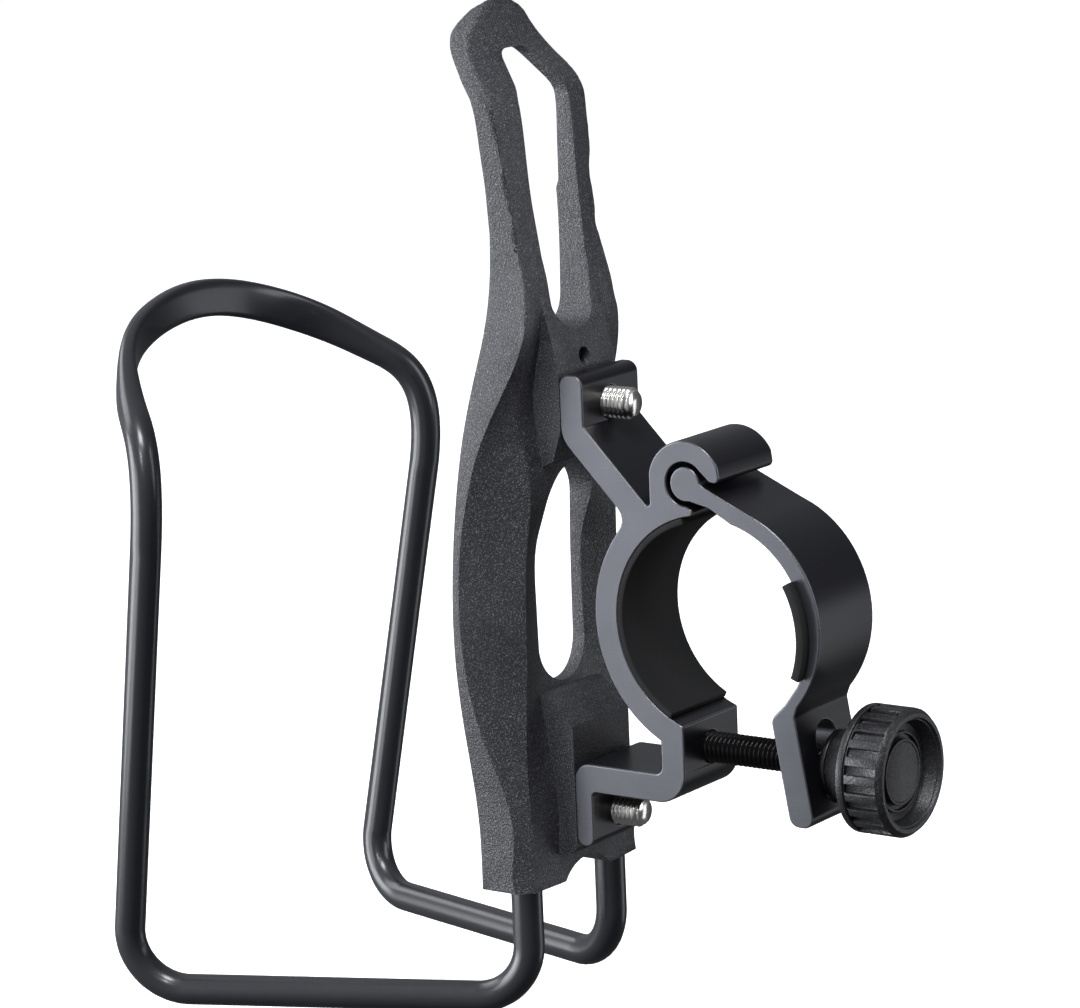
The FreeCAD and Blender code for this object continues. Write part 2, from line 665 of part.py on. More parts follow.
def band_section(point, tangent, tall, thick):
    """A closed section across the wire, its thin side towards the bottle's axis."""
    t = V(tangent).normalize()
    radial = V(point.x, point.y - FRONT - TROUGH, 0)
    side = (radial - t * radial.dot(t)).normalize()
    out = t.cross(side).normalize()
    squareness = 2.0 / (2.0 + 1.0 * (tall / thick - 1.0))
    ring = []
    for k in range(16):
        a = 2 * math.pi * k / 16
        c, d = math.cos(a), math.sin(a)
        ring.append(point + out * (math.copysign(abs(c) ** squareness, c) * tall / 2)
                    + side * (math.copysign(abs(d) ** squareness, d) * thick / 2))
    curve = Part.BSplineCurve()
    curve.interpolate(Points=ring, PeriodicFlag=True)
    return Part.Wire([curve.toShape()])


def wire_side(sign):
    """Round wire from one foot under the bottle and up its side."""
    points = [V(sign * p.x, p.y, p.z) for p in wire_path()]
    rail = Part.Wire(bent_edges(points, dim("corner_bend")))
    radius = dim("wire_radius")
    disc = Part.Wire([Part.makeCircle(radius, points[0], V(0, 0, 1))])
    side = rail.makePipeShell([disc], True, False, 2)
    expected = math.pi * radius ** 2 * rail.Length
    if abs(side.Volume - expected) > 0.02 * expected:
        raise RuntimeError("the wire's side has the wrong volume")
    return side


def build_wire():
    """Round wire for the ends, floor and sides; a loft that flattens it round the arch."""
    radius = dim("wire_radius")
    curve = arch_curve(wire_path())
    first, last = curve.FirstParameter, curve.LastParameter
    sections = []
    steps = 40
    for i in range(steps + 1):
        u = first + (last - first) * i / steps
        along = abs(2.0 * i / steps - 1.0)
        blend = min(1.0, max(0.0, (along - 0.25) / 0.5))
        blend = blend * blend * (3 - 2 * blend)
        round_size = 2 * (radius - SLIMMER)
        tall = dim("arch_band_height") + (round_size - dim("arch_band_height")) * blend
        thick = dim("arch_band_thick") + (round_size - dim("arch_band_thick")) * blend
        sections.append(band_section(curve.value(u), curve.tangent(u)[0], tall, thick))
    arch = Part.makeLoft(sections, True, True)
    whole = arch.fuse([wire_side(1), wire_side(-1)])
    print("wire: volume %.0f, solids %d, valid %s" % (whole.Volume, len(whole.Solids), whole.isValid()))
    return whole


wire_loop = doc.addObject("Part::Feature", "wire_loop")
wire_loop.Label = "wire_loop"
wire_loop.Shape = build_wire()


# ---------------------------------------------------------------- cage_spine
def trough(x, front):
    """Front of the spine at x, where the bottle's cylinder touches it."""
    return front + TROUGH - math.sqrt(TROUGH ** 2 - x * x)


# Stations of the body, from the feet up. Each holds: height, half width, set-back of the trough,
# rear of the side face, and two points of the rear face between the side and the middle.
STATIONS = [
    (dim("spine_bottom"), 15.7, 1.25, 32.2, (13.9, 29.9), (7.6, 29.4)),
    (-36.0, 15.7, 1.25, 32.2, (13.9, 29.9), (7.6, 29.4)),
    (-28.0, 16.3, 1.15, 33.0, (13.9, 30.2), (7.6, 29.6)),
    (-20.0, 17.4, 0.95, 35.5, (13.4, 30.6), (6.6, 31.0)),
    (-10.0, 18.5, 0.75, 37.6, (12.7, 30.5), (6.1, 32.6)),
    (0.0, 18.8, 0.65, 38.3, (12.4, 30.4), (6.1, 32.9)),
    (10.0, 18.5, 0.45, 37.9, (12.0, 30.0), (6.1, 32.3)),
    (19.0, 17.9, 0.1, 36.4, (11.0, 29.6), (6.1, 29.6)),
    (28.0, 16.6, 0.0, 33.9, (10.9, 31.0), (7.9, 30.6)),
    (36.0, 14.6, 0.0, 30.5, (11.2, 30.3), (8.0, 30.4)),
    (44.0, 12.3, 0.0, 28.4, (10.4, 28.3), (8.4, 28.7)),
    (51.0, 11.1, 0.0, 29.1, (9.4, 29.0), (7.4, 28.9)),
    (58.0, 10.6, 0.15, 30.9, (9.2, 30.5), (7.2, 30.3)),
    (64.0, 10.4, 0.6, 32.3, (9.2, 31.9), (7.2, 31.6)),
]


def station_wire(station):
    """A closed cross-section of the body at one height."""
    z, half, setback, rear, outer, inner = station
    front = FRONT + setback
    edge = trough(half, front)
    ring = [Part.Arc(V(-half, edge, z), V(0, front, z), V(half, edge, z)).toShape()]
    corners = [(half, edge), (half, rear), outer, inner]
    corners += [(-x, y) for x, y in reversed(corners)]
    for a, b in zip(corners[:-1], corners[1:]):
        ring.append(Part.LineSegment(V(a[0], a[1], z), V(b[0], b[1], z)).toShape())
    return Part.Wire(ring)


def slab(points, half):
    """An outline in the YZ plane, extruded to both sides."""
    face = Part.Face(Part.makePolygon([V(-half, y, z) for y, z in points + points[:1]]))
    return face.extrude(V(2 * half, 0, 0))


def front_plate(outline, near, far):
    """An outline in the XZ plane, extruded along Y."""
    ring = []
    for edge in outline.edges():
        points = [V(p[0], near, p[1]) for p in edge[1:]]
        ring.append(Part.LineSegment(*points).toShape() if edge[0] == "line" else Part.Arc(*points).toShape())
    return Part.Face(Part.Wire(ring)).extrude(V(0, far - near, 0))


def mirrored(outline_points):
    """An outline from its right half, which runs from the bottom to the top."""
    outline = Outline()
    for x, z, radius in outline_points:
        outline.corner((x, z), radius)
    for x, z, radius in reversed(outline_points):
        outline.corner((-x, z), radius)
    return outline


# The tongue's plate on the middle line: height, front, rear. It leans forward into a hook
# that catches the groove round the bottle.
TONGUE = [
    (48.0, 33.75, 28.6), (57.0, 33.75, 29.6), (66.0, 33.75, 30.6), (72.0, 33.75, 31.0), (76.0, 33.8, 31.4),
    (78.5, 34.3, 32.0), (80.5, 35.8, 33.5), (83.0, 38.1, 35.8), (85.5, 40.2, 37.8), (88.0, 41.2, 38.7),
    (90.0, 41.2, 38.7), (91.3, 40.8, 38.9), (92.2, 40.1, 39.5),
]
TONGUE_SLICES = 44
REAR_FLATNESS = 0.6


def smooth_rows(rows, count):
    """The same rows, read along one smooth curve through them."""
    curve = Part.BSplineCurve()
    curve.interpolate([V(front, rear, z) for z, front, rear in rows])
    first, last = curve.FirstParameter, curve.LastParameter
    points = [curve.value(first + (last - first) * i / count) for i in range(count + 1)]
    return [(p.z, p.x, p.y) for p in points]


def tongue():
    """The upper half of the spine: a plate of one curvature that ends in a hook."""
    wide = 15.0
    sections = []
    for z, front, rear in smooth_rows(TONGUE, TONGUE_SLICES):
        near = trough(wide, front)
        far = rear + REAR_FLATNESS * (near - front)
        ring = [Part.Arc(V(-wide, near, z), V(0, front, z), V(wide, near, z)).toShape(),
                Part.LineSegment(V(wide, near, z), V(wide, far, z)).toShape(),
                Part.Arc(V(wide, far, z), V(0, rear, z), V(-wide, far, z)).toShape(),
                Part.LineSegment(V(-wide, far, z), V(-wide, near, z)).toShape()]
        sections.append(Part.Wire(ring))
    plate = Part.makeLoft(sections, True, True)
    top = TONGUE[-1][0]
    outline = mirrored([(11.1, 46.0, 0), (10.7, 57.0, 20), (11.2, 65.0, 30), (12.9, 79.5, 6), (9.0, 88.0, 5),
                        (2.6, top + 0.4, 5)])
    return plate.common(front_plate(outline, 20, 50))


def spine_windows():
    """The two windows and the arch between the feet, as cutting solids."""
    bottom, top = dim("upper_window_bottom"), dim("upper_window_top")
    upper = mirrored([(5.0, bottom, 4.6), (6.15, 62.0, 40), (6.5, 78.0, 4), (3.2, top + 0.3, 2.6)])
    half = dim("lower_window_half_width")
    lower = Outline()
    shoulder = dim("lower_window_top") - half
    base = dim("lower_window_bottom") + half
    lower.corner((half, base))
    lower.corner((half, shoulder))
    lower.arc((0.0, dim("lower_window_top")), (-half, shoulder))
    lower.corner((-half, base))
    lower.arc((0.0, dim("lower_window_bottom")), (half, base))
    arch = Outline()
    width, rise, floor = dim("foot_arch_half_width"), dim("foot_arch_height"), dim("spine_bottom")
    arch.corner((width, floor - 2))
    arch.corner((width, floor))
    arch.arc((0.0, floor + rise), (-width, floor))
    arch.corner((-width, floor - 2))
    return [front_plate(upper, 20, 50), front_plate(lower, 20, 50), front_plate(arch, 20, 50)]


def along_y(radius, height, start, end):
    return Part.makeCylinder(radius, end - start, V(0, start, height), V(0, 1, 0))


def build_spine():
    body = Part.makeLoft([station_wire(s) for s in STATIONS], True, False)
    half = dim("pad_half_width")
    upper_pad = slab([(33.0, 20.5), (27.6, 23.0), (BACK, 28.0), (BACK, 36.6), (26.9, 41.0), (28.2, 46.0),
                      (29.2, 51.5), (33.0, 51.5)], half)
    lower_pad = slab([(33.0, -13.6), (30.6, -14.0), (BACK, -18.2), (BACK, -37.4), (27.2, -38.6), (33.0, -39.4)], half)
    whole = body.fuse([upper_pad, lower_pad, tongue()])
    for window in spine_windows():
        whole = whole.cut(window)
    hole = dim("spine_hole_radius")
    for height, seat in ((UPPER_Z, UPPER_SEAT), (LOWER_Z, LOWER_SEAT)):
        bearing = seat - dim("bolt_washer_thick")
        whole = whole.cut(along_y(hole, height, 20, 45))
        whole = whole.cut(along_y(dim("counterbore_radius"), height, bearing, 45))
    whole = whole.cut(along_y(1.4, 38.2, 20, 28.4))
    for side in (-1, 1):
        start = V(side * dim("wire_end_width"), dim("wire_end_ahead"), dim("spine_bottom") - 1)
        whole = whole.cut(Part.makeCylinder(dim("wire_radius"), dim("wire_end_depth") + 1, start, V(0, 0, 1)))
    print("spine: volume %.0f, solids %d, valid %s" % (whole.Volume, len(whole.Solids), whole.isValid()))
    return whole


cage_spine = doc.addObject("Part::Feature", "cage_spine")
cage_spine.Label = "cage_spine"
cage_spine.Shape = build_spine()

# ---------------------------------------------------------------- check and write
doc.recompute()
PIECES = {o.Label: o for o in doc.Objects if o.TypeId == "PartDesign::Body"}
PIECES["strap_pad"] = strap_pad_whole
PIECES["wire_loop"] = wire_loop
PIECES["cage_spine"] = cage_spine
for obj in doc.Objects:
    if "Invalid" in obj.State or "Error" in obj.State:
        raise RuntimeError("%s is in state %s" % (obj.Name, obj.State))
os.makedirs("parts", exist_ok=True)
for label, obj in sorted(PIECES.items()):
    shape = obj.Shape
    if shape.isNull() or not shape.isValid() or not shape.Solids:
        raise RuntimeError(label + " has no valid shape")
    shape.exportStep("parts/%s.step" % label)
    box = shape.BoundBox
    print("%-18s solids %d volume %8.1f  x %.2f..%.2f  y %.2f..%.2f  z %.2f..%.2f" % (
        label, len(shape.Solids), shape.Volume, box.XMin, box.XMax, box.YMin, box.YMax, box.ZMin, box.ZMax))
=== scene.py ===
# %% [markdown]
# # A bottle cage with a handlebar clamp
# This lesson dresses a measured model of a bottle cage. The real thing is a moulded nylon back,
# a bent and painted wire that holds the bottle, and a small aluminium clamp that a thumb screw
# closes round a handlebar. The measured model gives every size and every place. Blender adds what
# the eye notices: threads, ribs, sawn and bevelled aluminium, and the grain of moulded plastic.
# Lengths are in metres. X runs along the handlebar, Y points at the bottle and Z is up.

# %% Load the measured model
import json
import math
import bpy
import bmesh
from mathutils import Matrix, Vector
from mathutils.kdtree import KDTree

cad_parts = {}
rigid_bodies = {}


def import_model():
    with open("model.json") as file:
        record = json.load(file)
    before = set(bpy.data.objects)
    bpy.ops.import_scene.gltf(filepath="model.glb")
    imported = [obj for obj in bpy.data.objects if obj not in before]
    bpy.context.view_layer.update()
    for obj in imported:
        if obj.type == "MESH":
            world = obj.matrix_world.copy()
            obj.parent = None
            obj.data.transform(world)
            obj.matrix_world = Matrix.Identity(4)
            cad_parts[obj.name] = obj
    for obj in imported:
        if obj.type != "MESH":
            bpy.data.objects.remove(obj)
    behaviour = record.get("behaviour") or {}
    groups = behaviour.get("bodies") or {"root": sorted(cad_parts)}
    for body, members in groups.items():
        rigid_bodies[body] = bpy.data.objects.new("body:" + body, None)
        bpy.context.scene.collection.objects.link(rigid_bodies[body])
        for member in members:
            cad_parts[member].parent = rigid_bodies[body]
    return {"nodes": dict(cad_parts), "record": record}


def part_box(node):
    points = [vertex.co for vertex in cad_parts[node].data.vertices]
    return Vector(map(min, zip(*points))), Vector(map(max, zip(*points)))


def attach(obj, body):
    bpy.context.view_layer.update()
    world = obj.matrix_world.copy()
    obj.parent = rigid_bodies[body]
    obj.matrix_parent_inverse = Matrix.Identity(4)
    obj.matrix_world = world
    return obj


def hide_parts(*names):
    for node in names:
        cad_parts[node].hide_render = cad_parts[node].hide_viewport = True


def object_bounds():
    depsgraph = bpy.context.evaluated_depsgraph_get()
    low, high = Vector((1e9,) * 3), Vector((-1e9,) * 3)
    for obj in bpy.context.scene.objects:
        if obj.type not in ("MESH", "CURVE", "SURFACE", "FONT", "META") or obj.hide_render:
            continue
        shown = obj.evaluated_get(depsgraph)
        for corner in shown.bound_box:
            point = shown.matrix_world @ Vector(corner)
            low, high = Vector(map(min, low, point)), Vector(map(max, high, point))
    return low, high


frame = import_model()
measured_box = [list(corner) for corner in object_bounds()]
nodes = frame["nodes"]
print("the measured box is", measured_box)

# %% Small words used all through
MM = 0.001


def mm(*numbers):
    """A point or a size given in millimetres, in metres."""
    return Vector([n * MM for n in numbers])


def fresh():
    """Object mode with nothing selected, so that the next operator acts on the new piece alone."""
    if bpy.context.object and bpy.context.object.mode != "OBJECT":
        bpy.ops.object.mode_set(mode="OBJECT")
    bpy.ops.object.select_all(action="DESELECT")


def hold(piece):
    """Select one piece and make it the active one."""
    fresh()
    piece.select_set(True)
    bpy.context.view_layer.objects.active = piece
    return piece


def edit(piece):
    """Open one piece in edit mode."""
    hold(piece)
    bpy.ops.object.mode_set(mode="EDIT")


def face_out():
    """Turn every face of the open piece outwards and leave edit mode."""
    bpy.ops.mesh.select_all(action="SELECT")
    bpy.ops.mesh.normals_make_consistent(inside=False)
    bpy.ops.object.mode_set(mode="OBJECT")


def place(piece, name):
    """Bake the piece's place into its mesh, so that its object sits at the origin."""
    hold(piece)
    bpy.ops.object.transform_apply(location=True, rotation=True, scale=True)
    piece.name = name
    piece.data.name = name
    return piece


def middle(node):
    """The centre of a measured piece's box."""
    low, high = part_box(node)
    return (Vector(low) + Vector(high)) / 2


# %% [markdown]
# ## The stage and the camera
# The cage is shown as in a catalogue: a white room, a pale floor and big soft lights, so that the
# black pieces are drawn by their reflections. The camera is a long lens a little above the bar,
# on the clamp's side. It is turned 2.4 degrees about its own axis.

# %% The camera
view_from = mm(-548.885, -358.713, 152.533)
view_along = Vector((0.79554586, 0.571846, -0.2002472)).normalized()
view_right = Vector((0.57628129, -0.81620357, -0.0413716)).normalized()
view_up = view_right.cross(view_along).normalized()
fresh()
bpy.ops.object.camera_add()
camera = bpy.context.object
camera.name = "camera"
turn = Matrix((view_right, view_up, -view_along)).transposed()
camera.matrix_world = Matrix.Translation(view_from) @ turn.to_4x4()
camera.data.sensor_width = 36.0
camera.data.lens = 149.16
camera.data.clip_start = 0.01
bpy.context.scene.camera = camera
print("the lens is %.1f mm" % camera.data.lens)

# %% The room
# The walls glow most on one side. The camera itself sees an even, brighter backdrop instead.
BRIGHT_SIDE = Vector((-0.60, 0.38, 0.68)).normalized()
BACKDROP = 1.1
WALL_COLOUR = (0.92, 0.95, 1.0, 1.0)
FACTOR, FIRST, SECOND = 0, 2, 3     # the Mix node's number sockets

world = bpy.context.scene.world or bpy.data.worlds.new("room")
bpy.context.scene.world = world
world.use_nodes = True
room = world.node_tree
wall = room.nodes["Background"]
aim = room.nodes.new("ShaderNodeTexCoord")
reach = room.nodes.new("ShaderNodeVectorMath")
reach.operation = "DOT_PRODUCT"
reach.inputs[1].default_value = BRIGHT_SIDE
glow = room.nodes.new("ShaderNodeMapRange")
for socket, value in (("From Min", -0.5), ("From Max", 1.0), ("To Min", 0.09), ("To Max", 0.75)):
    glow.inputs[socket].default_value = value
seen = room.nodes.new("ShaderNodeLightPath")
choose = room.nodes.new("ShaderNodeMix")
choose.inputs[SECOND].default_value = BACKDROP
room.links.new(aim.outputs["Generated"], reach.inputs[0])
room.links.new(reach.outputs["Value"], glow.inputs["Value"])
room.links.new(seen.outputs["Is Camera Ray"], choose.inputs[FACTOR])
room.links.new(glow.outputs["Result"], choose.inputs[FIRST])
room.links.new(choose.outputs[0], wall.inputs["Strength"])
wall.inputs["Color"].default_value = WALL_COLOUR
bpy.context.scene.view_settings.view_transform = "Standard"

# %% The floor and the lights
FLOOR_GAP = 0.012
LIGHT_COLOUR = (0.94, 0.96, 1.0)

fresh()
floor_height = measured_box[0][2] - FLOOR_GAP
bpy.ops.mesh.primitive_plane_add(size=6.0, location=(0.6, 0.4, floor_height))
floor = place(bpy.context.object, "floor")
floor.visible_glossy = False
floor.visible_diffuse = False
floor.visible_shadow = False


def softbox(name, target, direction, distance, size, power):
    """A rectangular area light that faces a target from a direction."""
    fresh()
    direction = Vector(direction).normalized()
    bpy.ops.object.light_add(type="AREA", location=Vector(target) + direction * distance)
    light = bpy.context.object
    light.name = name
    light.rotation_euler = (-direction).to_track_quat("-Z", "Y").to_euler()
    light.data.shape = "RECTANGLE"
    light.data.size, light.data.size_y = size
    light.data.energy = power
    light.data.color = LIGHT_COLOUR
    light.visible_camera = False


heart = Vector((0.0, 0.04, 0.01))
softbox("overhead", heart, (-0.42, -0.24, 0.88), 0.8, (0.26, 0.26), 4.6)
softbox("back_window", heart, (-0.15, 0.9, 0.7), 0.8, (0.6, 0.4), 2.5)
softbox("left_window", mm(0, 22, 10), (-0.80, 0.57, -0.12), 0.32, (0.10, 0.20), 0.27)
softbox("rear_left_window", heart, (-0.55, 0.80, 0.0), 0.8, (0.4, 0.5), 5.0)
softbox("front_window", heart, (-0.80, -0.26, 0.54), 0.9, (0.10, 0.20), 1.5)
softbox("bar_window", heart, (0.35, -0.90, 0.28), 0.8, (0.3, 0.6), 1.9)
softbox("right_window", heart, (0.72, -0.65, -0.28), 0.8, (0.3, 0.5), 0.6)

# %% [markdown]
# ## Materials written as sums
# A material in Blender is a net of nodes. The small class below wraps one socket, so that a net
# can be written as ordinary sums: `speckle * 0.4 + 0.6` adds two Math nodes. Patterns read Object
# coordinates, which are metres on the piece itself, so a grain keeps its real size.


# %% Sums on sockets
class Value:
    """One output socket of a material, which can be added, subtracted and multiplied."""

    def __init__(self, finish, socket):
        self.finish, self.socket = finish, socket

    def _math(self, operation, a, b):
        return self.finish.node("ShaderNodeMath", {"operation": operation}, {0: a, 1: b})

    def __add__(self, other):
        return self._math("ADD", self, other)

    __radd__ = __add__

    def __mul__(self, other):
        return self._math("MULTIPLY", self, other)

    __rmul__ = __mul__

    def __sub__(self, other):
        return self._math("SUBTRACT", self, other)

    def __rsub__(self, other):
        return self._math("SUBTRACT", other, self)


MIX_FACTOR, MIX_DARK, MIX_LIGHT, MIX_RESULT = 0, 6, 7, 2     # the Mix node's colour sockets
SPECK_FLOOR = 0.55


class Finish:
    """One material, with its nodes added by name."""

    def __init__(self, name, colour, roughness, **sockets):
        self.material = bpy.data.materials.new(name)
        self.material.use_nodes = True
        self.tree = self.material.node_tree
        self.shader = self.tree.nodes["Principled BSDF"]
        self.shader.inputs["Base Color"].default_value = (*colour, 1.0)
        self.shader.inputs["Roughness"].default_value = roughness
        for socket, value in sockets.items():
            self.shader.inputs[socket.replace("_", " ")].default_value = value
        self.place = self.node("ShaderNodeTexCoord", out="Object")

    def node(self, kind, settings=None, inputs=None, out=0):
        """A new node: its settings come first, then the values or links of its sockets."""
        made = self.tree.nodes.new(kind)
        for name, value in (settings or {}).items():
            setattr(made, name, value)
        for name, value in (inputs or {}).items():
            if isinstance(value, Value):
                self.tree.links.new(value.socket, made.inputs[name])
            else:
                made.inputs[name].default_value = value
        return Value(self, made.outputs[out])

    def feed(self, socket, value):
        """Link a value to a socket of the shader."""
        self.tree.links.new(value.socket, self.shader.inputs[socket])

    def noise(self, grain, detail=2.0, stretch=(1.0, 1.0, 1.0)):
        """Noise whose cells are about grain metres across, stretched along the axes."""
        where = self.node("ShaderNodeMapping", None,
                          {"Vector": self.place, "Scale": [1.0 / s for s in stretch]})
        return self.node("ShaderNodeTexNoise", None, {"Vector": where, "Scale": 1.0 / grain,
                                                      "Detail": detail, "Roughness": 0.55})

    def pebbles(self, grain):
        """Distance to the nearest of many scattered points, about grain metres apart."""
        return self.node("ShaderNodeTexVoronoi", {"feature": "F1"},
                         {"Vector": self.place, "Scale": 1.0 / grain}, out="Distance")

    def specks(self, pattern, gain):
        """The peaks of a noise, sharpened by a gain and held between 0 and 1."""
        return self.node("ShaderNodeMath", {"operation": "MULTIPLY", "use_clamp": True},
                         {0: pattern - SPECK_FLOOR, 1: gain})

    def tint(self, share, dark, light):
        """A colour between two, by a share from 0 to 1."""
        return self.node("ShaderNodeMix", {"data_type": "RGBA", "clamp_factor": True},
                         {MIX_FACTOR: share, MIX_DARK: (*dark, 1.0), MIX_LIGHT: (*light, 1.0)},
                         out=MIX_RESULT)

    def relief(self, height, depth, strength=1.0):
        """A bump of a given depth in metres."""
        return self.node("ShaderNodeBump", None,
                         {"Height": height, "Distance": depth, "Strength": strength})

    def dress(self, *pieces):
        """Give each piece this material alone."""
        for piece in pieces:
            piece.data.materials.clear()
            piece.data.materials.append(self.material)


print("nodes to dress:", sorted(nodes))

# %% [markdown]
# ## The finishes
# The back is glass-filled nylon from a spark-eroded mould: a fine pebbled skin whose tiny bright
# points are painted glints in its colour. The wire is sprayed with a smooth black paint. The clamp
# is black anodised aluminium, satin along the extrusion and a little lighter where the saw went
# through. The rubber is dull.

# %% Moulded nylon
nylon = Finish("spine_nylon", (0.012, 0.012, 0.014), 0.42, Specular_IOR_Level=0.5)
grain = nylon.pebbles(0.00042)
fine = nylon.noise(0.00020)
cloud = nylon.noise(0.012)
# The bright points mixed into the base colour are painted glints. The broad cloud is tone that
# differs at random.
points = nylon.specks(fine, 10.0)
nylon.feed("Base Color", nylon.tint(points * 0.8 + cloud * 0.2,
                                    (0.006, 0.006, 0.008), (0.150, 0.152, 0.164)))
nylon.feed("Roughness", 0.27 + grain * 0.20)
nylon.feed("Normal", nylon.relief(grain * 0.5 + fine * 0.9, 0.00012))

# %% Black paint on the wire
paint = Finish("wire_paint", (0.008, 0.009, 0.012), 0.3, Coat_Weight=0.3, Coat_Roughness=0.15)
orange_peel = paint.noise(0.0012)
paint.feed("Roughness", 0.26 + orange_peel * 0.1)
paint.feed("Normal", paint.relief(orange_peel, 0.00003, 0.3))

# %% Anodised aluminium, as extruded and as sawn
anodised = Finish("anodised", (0.010, 0.010, 0.013), 0.3, Metallic=0.4)
drawn = anodised.noise(0.0004, 3.0, stretch=(60.0, 1.0, 1.0))
dust = anodised.noise(0.0002)
anodised.feed("Roughness", 0.22 + drawn * 0.12 + dust * 0.05)
anodised.feed("Normal", anodised.relief(drawn * 0.6 + dust * 0.4, 0.00002, 0.25))
sawn = Finish("sawn_end", (0.10, 0.10, 0.11), 0.5, Metallic=0.7)
strokes = sawn.noise(0.00022, 3.0, stretch=(1.0, 30.0, 1.0))
patch = sawn.noise(0.006)
sawn.feed("Base Color", sawn.tint(strokes * 0.5 + patch * 0.5,
                                  (0.050, 0.051, 0.058), (0.090, 0.091, 0.102)))
sawn.feed("Roughness", 0.30 + strokes * 0.14)
sawn.feed("Normal", sawn.relief(strokes, 0.00002, 0.3))
# The bevels' lighter colour is a painted highlight along the clamp's black anodised edges.
painted_edge_highlight = Finish("bevelled_edge", (0.12, 0.12, 0.13), 0.28, Metallic=0.8)
painted_edge_highlight.feed("Roughness", 0.22 + painted_edge_highlight.noise(0.0005) * 0.15)

# %% Rubber, steel, knob plastic and the floor
rubber = Finish("pad_rubber", (0.008, 0.008, 0.008), 0.8, Specular_IOR_Level=0.3)
rubber.feed("Normal", rubber.relief(rubber.noise(0.0003, 3.0), 0.00004, 0.5))
rubber.feed("Roughness", 0.72 + rubber.noise(0.004) * 0.15)
stainless = Finish("stainless", (0.62, 0.60, 0.57), 0.22, Metallic=1.0)
smear = stainless.noise(0.0006, 3.0)
stainless.feed("Base Color", stainless.tint(smear, (0.74, 0.71, 0.66), (0.97, 0.95, 0.92)))
stainless.feed("Roughness", 0.13 + smear * 0.14)
black_oxide = Finish("black_oxide", (0.03, 0.03, 0.03), 0.35, Metallic=0.9)
black_oxide.feed("Roughness", 0.24 + black_oxide.noise(0.0005, 3.0) * 0.2)
knob_plastic = Finish("knob_plastic", (0.010, 0.010, 0.011), 0.4)
pebble = knob_plastic.pebbles(0.0003)
flecks = knob_plastic.specks(knob_plastic.noise(0.00022), 8.0)
knob_plastic.feed("Base Color", knob_plastic.tint(flecks, (0.006, 0.006, 0.007),
                                                  (0.055, 0.055, 0.058)))
knob_plastic.feed("Roughness", 0.24 + pebble * 0.3)
knob_plastic.feed("Normal", knob_plastic.relief(pebble, 0.00004))
paper = Finish("floor_paper", (0.93, 0.93, 0.93), 0.9,
               Emission_Color=(1.0, 1.0, 1.0, 1.0), Emission_Strength=0.55)
paper.feed("Roughness", 0.85 + paper.noise(0.05, 1.0) * 0.1)
paper.dress(floor)

stainless.dress(nodes["cage_washer_upper"], nodes["cage_washer_lower"])

# %% [markdown]
# ## Copies of measured pieces
# Sawn and moulded pieces have the right shape already, but their edges are knife sharp. A copy of
# the measured mesh is welded, its flat faces are joined again, and a bevel rounds its edges. The
# measured mesh itself is never touched.

# %% Weld, modify, bevel and smooth
WELD_GAP = 0.000004
FLAT_TO = math.radians(0.4)


def welded(node, name):
    """A copy of a measured piece with its points merged and its flat faces joined."""
    hold(nodes[node])
    bpy.ops.object.duplicate()
    piece = bpy.context.object
    edit(piece)
    bpy.ops.mesh.select_all(action="SELECT")
    bpy.ops.mesh.remove_doubles(threshold=WELD_GAP)
    bpy.ops.mesh.dissolve_limited(angle_limit=FLAT_TO)
    bpy.ops.object.mode_set(mode="OBJECT")
    piece.data.materials.clear()
    piece.name = name
    piece.data.name = name
    for body, members in frame["record"]["behaviour"]["bodies"].items():
        if node in members:
            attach(piece, body)
    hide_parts(node)
    return piece


def modify(piece, kind, **settings):
    """Add a modifier, set it and apply it at once."""
    hold(piece)
    modifier = piece.modifiers.new(kind.lower(), kind)
    for name, value in settings.items():
        setattr(modifier, name, value)
    bpy.ops.object.modifier_apply(modifier=modifier.name)
    return piece


def bevel(piece, width, angle, **settings):
    """Round the edges that turn by more than an angle in degrees."""
    settings = {"segments": 2, "use_clamp_overlap": False, **settings}
    return modify(piece, "BEVEL", width=width, limit_method="ANGLE",
                  angle_limit=math.radians(angle), **settings)


def smooth(piece, angle=30):
    """Shade a piece smooth, except across edges that turn by more than an angle in degrees."""
    hold(piece)
    bpy.ops.object.shade_smooth_by_angle(angle=math.radians(angle))
    print(piece.name, "has", len(piece.data.polygons), "faces")
    return piece


# %% [markdown]
# ## The back
# The back is one moulding: a curved plate that the bottle lies against, a hooked tongue above and
# two feet below. Every edge of a moulding is a little round, which a narrow bevel gives. The long
# ridge between the tongue's side and its rear face is rounder still. A bevel as wide as that cannot
# slide over the many strips of a curved ridge, so the faces near the ridge are cut small and their
# points relaxed, most of all on the ridge itself.

# %% Close the small ledge at the tongue's foot and bevel the back
TONGUE_FOOT = 0.064
LEDGE_HALF_WIDTH, LEDGE_Y, LEDGE_SLOPE = 0.00619, 0.03427, 0.242


def tongue_front(x):
    """Y of the tongue's bottle side where it joins the body, at a distance x from the middle."""
    return LEDGE_Y + LEDGE_SLOPE * (abs(x) - LEDGE_HALF_WIDTH)


spine = welded("cage_spine", "spine_moulding")
edit(spine)
bpy.ops.mesh.select_mode(type="VERT")
bpy.ops.mesh.select_all(action="DESELECT")
net = bmesh.from_edit_mesh(spine.data)
ledge = [point for point in net.verts if abs(point.co.z - TONGUE_FOOT) < 0.0002
         and point.co.y > tongue_front(point.co.x) - 0.00005]
for point in ledge:
    point.co.y = tongue_front(point.co.x)
    point.select_set(True)
bmesh.update_edit_mesh(spine.data)
bpy.ops.mesh.remove_doubles(threshold=0.00015)
bpy.ops.object.mode_set(mode="OBJECT")
print("points on the joint's ledge:", len(ledge))
bevel(spine, 0.00045, 24, segments=3, use_clamp_overlap=True)

# %% Find the ridge
RIDGE_FOOT, HOOK_BACK = 0.047, 0.086
SEED_STEP = 0.0003


